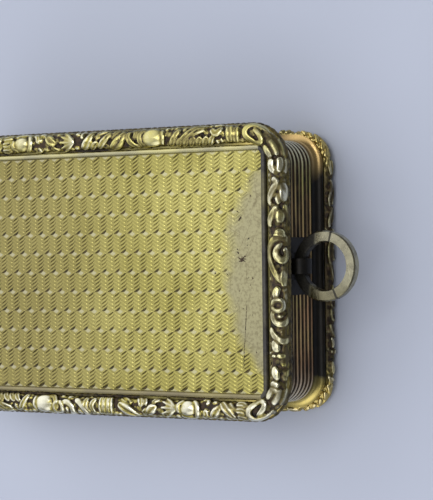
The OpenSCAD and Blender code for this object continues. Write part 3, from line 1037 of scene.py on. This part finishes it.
# %% [markdown]
# A motif is written as a small table, in hundredths of a millimetre. A row lists the points of one
# stroke, then a slash, its half-widths at the start, middle and end and, where it isn't 5, its lift
# over the bead. A row that starts with a word is a knob, a boss or a hoop.

# %% Reading a table
FORMS = {"knob": knob, "boss": boss, "hoop": hoop}


def hundredths(text):
    return [float(word) / 100 for word in text.split()]


def read_table(table, vein):
    made = {}
    for row in table.strip().splitlines():
        points, slash, widths = row.partition("/")
        if row.endswith(":"):
            parts = made[row[:-1]] = []
        elif slash:
            parts.append(draw(hundredths(points), hundredths(widths), vein))
        else:
            form, values = row.split(maxsplit=1)
            parts.append(FORMS[form](*hundredths(values)))
    return made


print("forms with a word of their own:", ", ".join(FORMS))

# %% [markdown]
# The end beside the ring has large soft scrolls: a bell flower, a corner curl, an eye, a pair of knobs,
# a leaf and a volute. They are worn smooth, so their veins are shallow.

# %% Motifs of the ends
SOFT_VEIN = 0.12
END_MOTIFS = read_table("""
bell:
    185 -10 115 28 55 50 0 50 / 9 16 10
    190 -45 120 -85 30 -90 / 9 15 9
    160 -25 100 -20 35 -20 / 10 20 10 -2
    -75 -15 -40 -17 -5 -18 / 28 20 6 6
corner:
    150 -10 95 3 35 35 70 68 145 62 205 33 210 -8 170 -38 95 -42 10 -35 / 10 14 10 6
    -10 50 -80 45 -160 30 / 9 16 9
    -10 -5 -80 -10 -150 -10 / 8 13 8 2
    -30 -60 -90 -70 -160 -60 / 8 14 8 0
eye:
    hoop 95 0 46 10 8
    55 35 -5 33 -50 10 -60 -30 -35 -65 20 -80 95 -70 / 12 13 8
    knob 2 -15 12 4
    250 -10 200 10 150 12 / 9 15 10
    220 -75 160 -60 120 -75 / 8 12 8 0
    -85 58 -150 30 -200 -20 -195 -70 -140 -100 / 11 14 8
    -100 -30 -130 -35 -155 -30 / 8 13 8 -6
knobs:
    170 40 120 15 70 10 / 9 17 10 6
    knob 42 -18 17 8
    knob 42 30 11 5
    140 -55 40 -65 -60 -55 / 10 20 10 -12
    -40 28 -100 20 -160 2 / 8 17 7 6
    -130 -40 -90 -80 -60 -100 / 8 13 7 2
    -200 60 -194 30 -205 -5 / 10 14 10
    -250 60 -244 30 -255 -5 / 10 14 10
leaf:
    210 30 150 35 85 10 / 12 17 10
    210 -20 150 -25 90 -10 / 10 15 10
    200 -70 140 -75 80 -50 / 10 14 10
    50 30 0 0 -70 28 -130 50 -190 40 / 10 16 9 6
    10 -25 -70 -50 -160 -40 / 12 22 12 2
    -80 -10 -130 -8 -175 -15 / 7 12 7 8
volute:
    -95 -25 -10 13 80 47 176 60 260 30 290 -25 260 -75 185 -95 120 -75 / 12 14 9
    245 -32 190 2 135 4 98 -30 130 -65 175 -60 180 -35 / 9 15 10 8
    30 -60 -40 -45 -130 -50 / 10 18 10 -4
""", SOFT_VEIN)
print("motifs of the ends:", ", ".join(END_MOTIFS))

# %% [markdown]
# The long sides have smaller forms. Half of them are leaves: an acanthus, a pod, a quill, a wave and a
# yoke of small leaves.

# %% Leaves of the long sides
LEAF_MOTIFS = read_table("""
acanthus:
    200 95 180 60 140 25 / 8 13 7 7
    135 95 115 60 75 25 / 8 13 7 7
    70 95 50 60 10 25 / 8 13 7 7
    5 95 -15 60 -55 25 / 8 13 7 7
    -60 95 -80 60 -120 25 / 8 13 7 7
    -120 95 -140 60 -180 25 / 8 13 7 7
    220 95 120 30 20 -20 -50 -45 / 8 16 8
    90 20 0 -2 -90 -20 / 8 13 8 7
    30 -50 -30 -50 -90 -42 / 7 10 7 3
pod:
    -15 -30 0 10 -45 55 -130 85 / 8 14 7 6
    210 90 110 40 25 -30 / 12 24 10 2
    -50 -45 -75 -10 -60 20 / 7 12 7 2
    190 10 140 -25 90 -50 / 7 13 7 2
quill:
    -150 40 -40 0 80 -45 / 10 22 8
    -130 85 -60 60 0 35 / 8 15 7 0
    55 90 90 60 100 20 / 8 14 8
    110 90 140 60 145 30 / 7 12 7
    100 -20 150 -5 190 20 / 7 14 7 2
wave:
    -20 75 -90 25 -170 -30 / 9 15 9 6
    160 80 90 30 30 -35 / 10 20 10 3
    60 85 20 50 -30 30 / 8 14 8
    knob 150 -20 16 0
    -30 -20 -70 -45 -120 -50 / 7 12 7 2
yoke:
    -145 75 -75 25 10 -35 / 10 18 10
    -60 75 -20 40 30 10 / 7 10 7 3
    10 60 70 62 130 48 / 9 13 8
    15 20 75 20 135 5 / 9 14 8 6
    20 -20 80 -25 135 -40 / 9 14 8
    -240 -35 -190 5 -135 45 / 10 18 9
""", VEIN)
print("leaves:", ", ".join(LEAF_MOTIFS))

# %% [markdown]
# The other half are two bosses with scrolls round them, a garland, a row of ribs and a shell, whose ribs
# are a fan of thin leaves.

# %% Bosses and shells of the long sides
SHELL_MOTIFS = read_table("""
drop:
    -75 85 -120 35 -185 -30 / 8 14 9 6
    boss 104 20 120 34
    10 -35 -10 20 5 75 / 6 9 6
    160 -45 220 -15 235 25 200 70 120 90 / 8 12 8
garland:
    35 -35 10 10 25 75 / 12 20 12
    -45 -30 -50 20 -35 80 / 10 17 12
    210 -20 150 10 90 -25 / 9 15 9
    190 -50 140 -55 90 -50 / 7 10 7 3
    knob 190 62 11 0
    knob 145 70 12 0
    knob 100 60 11 0
hook:
    boss -124 25 95 29
    -75 85 -25 45 -20 -5 -55 -45 / 7 11 7
    20 85 60 95 85 70 60 50 / 6 9 6
    -200 -30 -120 -50 -30 -45 / 7 11 7 3
    -160 80 -220 35 -210 -10 / 7 11 7
    20 -50 60 -10 50 20 / 7 12 7 0
ribs:
    25 85 31 25 17 -50 / 10 15 10
    72 85 78 25 64 -50 / 10 15 10
    118 85 124 25 110 -50 / 10 15 10
    -30 70 -75 20 -50 -40 / 8 13 8
    -100 -40 -150 10 -120 75 / 9 17 9 3
shell:
    -80 30 -140 10 -200 -25 / 6 20 10
    -60 80 -110 65 -140 40 / 7 12 7 3
""", VEIN)
shell_ribs = [leaf(1.25, 0.22, 1.75, 180 + a, 0.075, 0.1, 0.0) for a in (-34, -17, 0, 17, 34)]
SHELL_MOTIFS["shell"] = shell_ribs + SHELL_MOTIFS["shell"]
print("bosses and shells:", ", ".join(SHELL_MOTIFS))

# %% [markdown]
# ## From strokes to meshes
# A bead is the half-round that carries the strokes. A tube runs along each stroke over the bead and,
# past its edge, straight down the rim below. A bead has a radius, a half-width, and values for how
# strokes spread over it and swell, so the same strokes serve the lid's wide bead and the foot's small one.

# %% Tubes on a bead
TUBE_SIDES = 12
LOWEST = 0.62


Bead = collections.namedtuple("Bead", "ground half_width arc spread shift wide tall")
LID_BEAD = Bead(0.6, 0.78, 0.78, 1.32, -0.28, 2.3, 1.2)
BASE_BEAD = Bead(0.5, 0.5, 0.62, 0.72, 0.0, 1.15, 1.1)


def unit(rows):
    return rows / np.linalg.norm(rows, axis=1)[:, None]


def tube(line, width, lift, vein, bead):
    """The stroke as a closed tube: its corners and its faces."""
    angle = (line[:, 1] * bead.spread + bead.shift) / bead.arc
    down = np.clip(angle + math.pi / 2, -LOWEST / bead.arc, 0) * bead.arc
    angle = np.maximum(angle, -math.pi / 2)
    rho = bead.ground + lift
    across_rho = rho + bead.half_width - bead.ground
    middle = np.c_[line[:, 0], across_rho * np.sin(angle), rho * np.cos(angle) + down]
    tangent = unit(np.gradient(middle, axis=0))
    across = unit(np.cross(tangent, np.c_[np.zeros(len(middle)), np.sin(angle), np.cos(angle)]))
    outward = np.cross(across, tangent)
    a = np.arange(TUBE_SIDES) * 2 * math.pi / TUBE_SIDES
    height = bead.tall * np.where(np.isclose(np.sin(a), 1), 1 - vein, np.sin(a))
    ring = across[:, None] * (bead.wide * np.cos(a))[:, None] + outward[:, None] * height[:, None]
    corners = (middle[:, None] + ring * width[:, None, None]).reshape(-1, 3)
    n, k = len(middle), TUBE_SIDES
    faces = [(i * k + j, (i + 1) * k + j, (i + 1) * k + (j + 1) % k, i * k + (j + 1) % k)
             for i in range(n - 1) for j in range(k)]
    return corners, faces + [tuple(range(k)), tuple(range(n * k - 1, n * k - k - 1, -1))]


print("corners of a leaf's tube:", len(tube(*leaf(0, 0, 1, 0, 0.1, 0.0), LID_BEAD)[0]))

# %% [markdown]
# Every motif also gets low undergrowth between its bold strokes, from a fixed seed, and the lid's
# motifs get leaves that hang over the outer edge. A small letter stands for a motif and a capital for
# its mirror image, so a whole side can be written as a word.

# %% Sets of motifs
MOTIFS = dict(sorted({**END_MOTIFS, **LEAF_MOTIFS, **SHELL_MOTIFS}.items()))
order = "".join(name[0] + name[0].upper() for name in MOTIFS)
strokes_of = {name[0]: parts for name, parts in MOTIFS.items()}
hanging = [leaf(u, -0.82, 0.48, -90 + lean_deg, 0.18, 0.02, 0.0) for u, lean_deg in (
    (-1.6, 14), (-1.1, -10), (-0.6, -8), (-0.1, 10), (0.4, 12), (0.9, -12), (1.4, 8))]


def undergrowth(seed):
    """Low leaves in rows, with a hand-cut jitter."""
    hand = np.random.default_rng(seed)
    return [leaf(u + hand.uniform(-0.16, 0.16), v + hand.uniform(-0.1, 0.1), hand.uniform(0.45, 0.8),
                 turn_deg + hand.uniform(-30, 30), hand.uniform(0.1, 0.15), lift)
            for u in np.arange(-1.6, 1.7, 0.55)
            for v, turn_deg, lift in ((-0.75, 35, -0.06), (-0.1, 130, -0.1), (0.55, 50, -0.1))]


def motif_object(name, parts, bead):
    corners, faces = [], []
    for part in parts:
        more, sides = tube(*part, bead)
        faces += [tuple(len(corners) + i for i in face) for face in sides]
        corners += more.tolist()
    mesh = bpy.data.meshes.new(name)
    mesh.from_pydata(corners, [], faces)
    helpers.append(bpy.data.objects.new(name, mesh))
    return helpers[-1]


def motif_set(name, bead, edging):
    """Every motif and its mirror image, in the order of their letters."""
    kept = bpy.data.collections.new(name)
    for number, letter in enumerate(order):
        parts = strokes_of[letter.lower()] + undergrowth(number) + edging
        if letter.isupper():
            parts = [(line * np.array([-1, 1]), *rest) for line, *rest in parts]
        kept.objects.link(motif_object("%s_%02d" % (name, number), parts, bead))
    return kept


lid_motifs = motif_set("lid_motif", LID_BEAD, hanging)
base_motifs = motif_set("base_motif", BASE_BEAD, [])
print("motifs in each set:", len(order))

# %% [markdown]
# ## Cast borders
# The motifs stand at even steps along each side, between the curls or leaves at the corners. Their
# places are points along the straight bar, each with the number of its motif.

# %% Places of the motifs
FRONT, RIGHT, BACK, LEFT = "gAdErqshy", "kevbl", "gadpwSHYQ", "BVewa"
LID_CORNERS, BASE_CORNERS = "CcCc", "aAaA"
START = 5  # letters of the front before the start of the path


def motif_points(half_l, half_w, corner_r, corners):
    """Motif places along the path, which starts in the middle of the front."""
    arc = corner_r * math.pi / 2
    spots, at = [], 0.0
    words = ((FRONT[START:], half_l), (RIGHT, half_w), (BACK, half_l), (LEFT, half_w), (FRONT[:START], half_l))
    for number, (letters, half_side) in enumerate(words):
        run = 2 * (half_side - corner_r)
        full = len(FRONT) if half_side == half_l else len(RIGHT)
        gap = (run + arc) / (full + 1)
        first = at if number == 0 else at - arc / 2
        spots += [(first + gap * (i + 1), letter) for i, letter in enumerate(letters)]
        at += run / 2 + arc if number == 0 else run + arc
        if number < len(corners):
            spots.append((at - arc / 2, corners[number]))
    mesh = bpy.data.meshes.new("motif places")
    mesh.from_pydata([(s, 0, 0) for s, letter in spots], [], [])
    index = mesh.attributes.new("motif", "INT", "POINT")
    index.data.foreach_set("value", [order.index(letter) for s, letter in spots])
    return mesh


print("motifs along each border:", sum(map(len, (FRONT, RIGHT, BACK, LEFT, LID_CORNERS))))

# %% [markdown]
# After the bend, voxels fuse strokes and bar into one skin with softened creases, as in a casting. The
# skin's own smoothed shape then tells where it is high or hollow. That relief value, from a fine and a
# broad smoothing, drives the dark and bright of the finish. Baked shading would do it for one light.

# %% Skin and relief
VOXEL = 0.075
FACES_KEPT = 0.47
SMOOTHINGS = (8, 40)


def fuse(piece):
    voxels = piece.modifiers.new("voxels", "REMESH")
    voxels.mode = "VOXEL"
    voxels.voxel_size = VOXEL
    voxels.use_smooth_shade = True
    piece.modifiers.new("lighter", "DECIMATE").ratio = FACES_KEPT


def read(items, name, width, kind):
    values = np.empty(len(items) * width, kind)
    items.foreach_get(name, values)
    return values.reshape(-1, width)


def store_relief(piece):
    """Relief from 0, hollow, to 1, high: how far the skin stands out of its own smoothed shape."""
    mesh = piece.data
    n = len(mesh.vertices)
    here = read(mesh.vertices, "co", 3, np.float32) / MM
    normal = read(mesh.vertices, "normal", 3, np.float32)
    pair = read(mesh.edges, "vertices", 2, np.int32)
    ends = np.concatenate([pair, pair[:, ::-1]])
    degree = np.bincount(ends[:, 0], minlength=n)
    smooth = here.astype(np.float64)
    score = np.zeros(n)
    for turns in SMOOTHINGS:
        for _ in range(turns):
            mean = np.stack([np.bincount(ends[:, 0], smooth[ends[:, 1], k], n) for k in range(3)], 1)
            smooth = 0.5 * smooth + 0.5 * mean / degree[:, None]
        bulge = ((here - smooth) * normal).sum(1)
        low, high = np.percentile(bulge, (4, 96))
        score += np.clip((bulge - low) / (high - low), 0, 1) / len(SMOOTHINGS)
    kept = mesh.attributes.new("relief", "FLOAT", "POINT")
    kept.data.foreach_set("value", score.astype(np.float32))
    print(piece.name, "relief quartiles", np.percentile(score, (25, 50, 75)).round(2))


print("voxel in mm:", VOXEL)

# %% Border pieces
CORNER_R = 3.4
BAR_BELOW = 0.1
LID_INSET, BASE_INSET = 0.86, 0.8
LID_BEAD_DOWN = 0.095
BASE_BEAD_Z = 0.8


def border(name, node, body, inset, height, turn_angle, motif_kind, bead, corners, finish):
    radius = CORNER_R - inset
    route = path_curve(name + "_path", inset, radius, height)
    starts = motif_points(rim_high[0] - inset, rim_high[1] - inset, radius, corners)
    piece = grow(name, moulding, {
        "Motifs": motif_kind, "Path": route, "Bar height": bead.ground - BAR_BELOW,
        "Bar half-width": bead.half_width, "Turn": turn_angle, "Finish": finish}, starts, fuse)
    piece.data.materials.clear()
    piece.data.materials.append(finish)
    store_relief(piece)
    hand_over(piece, body, node)


border("cast_lid_border", "lid_cast_border", "lid", LID_INSET, rim_high[2] - LID_BEAD_DOWN, 0.0,
       lid_motifs, LID_BEAD, LID_CORNERS, LID_CAST)
border("cast_base_border", "base_cast_border", "box", BASE_INSET, BASE_BEAD_Z, math.pi / 2,
       base_motifs, BASE_BEAD, BASE_CORNERS, BASE_CAST)

# %% [markdown]
# ## Sponge
# The sponge was soaked in scented vinegar and lies under the grille. It is a soft block with pores of
# many sizes. A cube of fine cells is rounded at its edges and pitted by a cell texture at three
# scales, so that the pores are real hollows.

# %% Sponge tree
CELLS = {"Vertices X": 170, "Vertices Y": 104, "Vertices Z": 20}
PORES = ((0.42, 0.7, 0.32), (0.9, 0.55, 0.5), (2.0, 0.3, 0.5))  # scale, depth, rim
PORE_FLOOR = 0.12
EDGE_POWER = 14.0

sponge_tree, given, output = shape_tree("sponge", {
    "Low": "Vector", "High": "Vector", "Pore depth": 0.8, "Round edge": 0.9, "Finish": "Material"})
size = vector(sponge_tree, "SUBTRACT", given["High"], given["Low"])
middle = vector(sponge_tree, "SCALE", vector(sponge_tree, "ADD", given["High"], given["Low"]), 0.5)
block = step(sponge_tree, "GeometryNodeMeshCube", {"Size": size, **CELLS})["Mesh"]
spot = place(sponge_tree)
ax, ay, az = [(abs(c) * 2.0).calc("POWER", EDGE_POWER)
              for c in split(sponge_tree, vector(sponge_tree, "DIVIDE", spot, size))]
crown = ax * az + (ay * az + ax * ay)
pore = 0.0
for scale, depth, rim in PORES:
    cells = step(sponge_tree, "ShaderNodeTexVoronoi", {"Vector": spot, "Scale": scale})["Distance"]
    pore = calc(sponge_tree, "ADD", pore, Wire(sponge_tree, cells).ease(rim, PORE_FLOOR) * depth)
sink = pore.scaled(given["Pore depth"], crown * given["Round edge"])
facing = step(sponge_tree, "GeometryNodeInputNormal", {})[0]
soft = store(sponge_tree, block, "pore", pore)
soft = flow(sponge_tree, "SetPosition", soft, Offset=vector(sponge_tree, "SCALE", facing, sink * -1.0))
soft = flow(sponge_tree, "Transform", soft, Translation=middle)
close_tree(sponge_tree, flow(sponge_tree, "SetShadeSmooth", soft), given["Finish"], output)

# %% [markdown]
# A dry sponge is matt and straw-coloured, brown inside its pores as painted shade, with a faint sheen of
# fibres. The pore value that the tree stored colours the pores, and the sponge is handed over to the box.

# %% Sponge piece
FIBRE_SCALE = 1400
FIBRE_BUMP_M = 0.0001

sponge_skin, tree, shader = new_material("dry sponge")
stored = tree.nodes.new("ShaderNodeAttribute")
stored.attribute_name = "pore"
# Painted shade: the pores are coloured a darker brown, for the shade inside the hollows.
painted_pore_shade = Wire(tree, stored.outputs["Fac"]).ease(0.15, 0.9)
grain = noise(tree, tree.nodes.new("ShaderNodeTexCoord").outputs["Object"], FIBRE_SCALE).ease(0.3, 0.7)
straw = tint(tree, grain, colour(196, 152, 92), colour(226, 190, 128))
fibre = tree.nodes.new("ShaderNodeBump")
fibre.inputs["Strength"].default_value = 0.5
fibre.inputs["Distance"].default_value = FIBRE_BUMP_M
plug(tree, fibre.inputs["Height"], grain)
for name, value in (("Base Color", tint(tree, painted_pore_shade, straw, colour(96, 62, 30))), ("Roughness", 0.95),
                    ("Sheen Weight", 0.2), ("Normal", fibre.outputs["Normal"])):
    plug(tree, shader.inputs[name], value)

sponge_low, sponge_high = box_mm("sponge")
sponge = grow("scent_sponge", sponge_tree, {"Low": sponge_low, "High": sponge_high, "Finish": sponge_skin})
hand_over(sponge, "box", "sponge")

# %% [markdown]
# ## Last steps
# The paths and motifs were only helpers, so they go.

# %% Finish
for helper in helpers:
    bpy.data.objects.remove(helper)
for kept in (lid_motifs, base_motifs):
    bpy.data.collections.remove(kept)
bpy.context.view_layer.update()
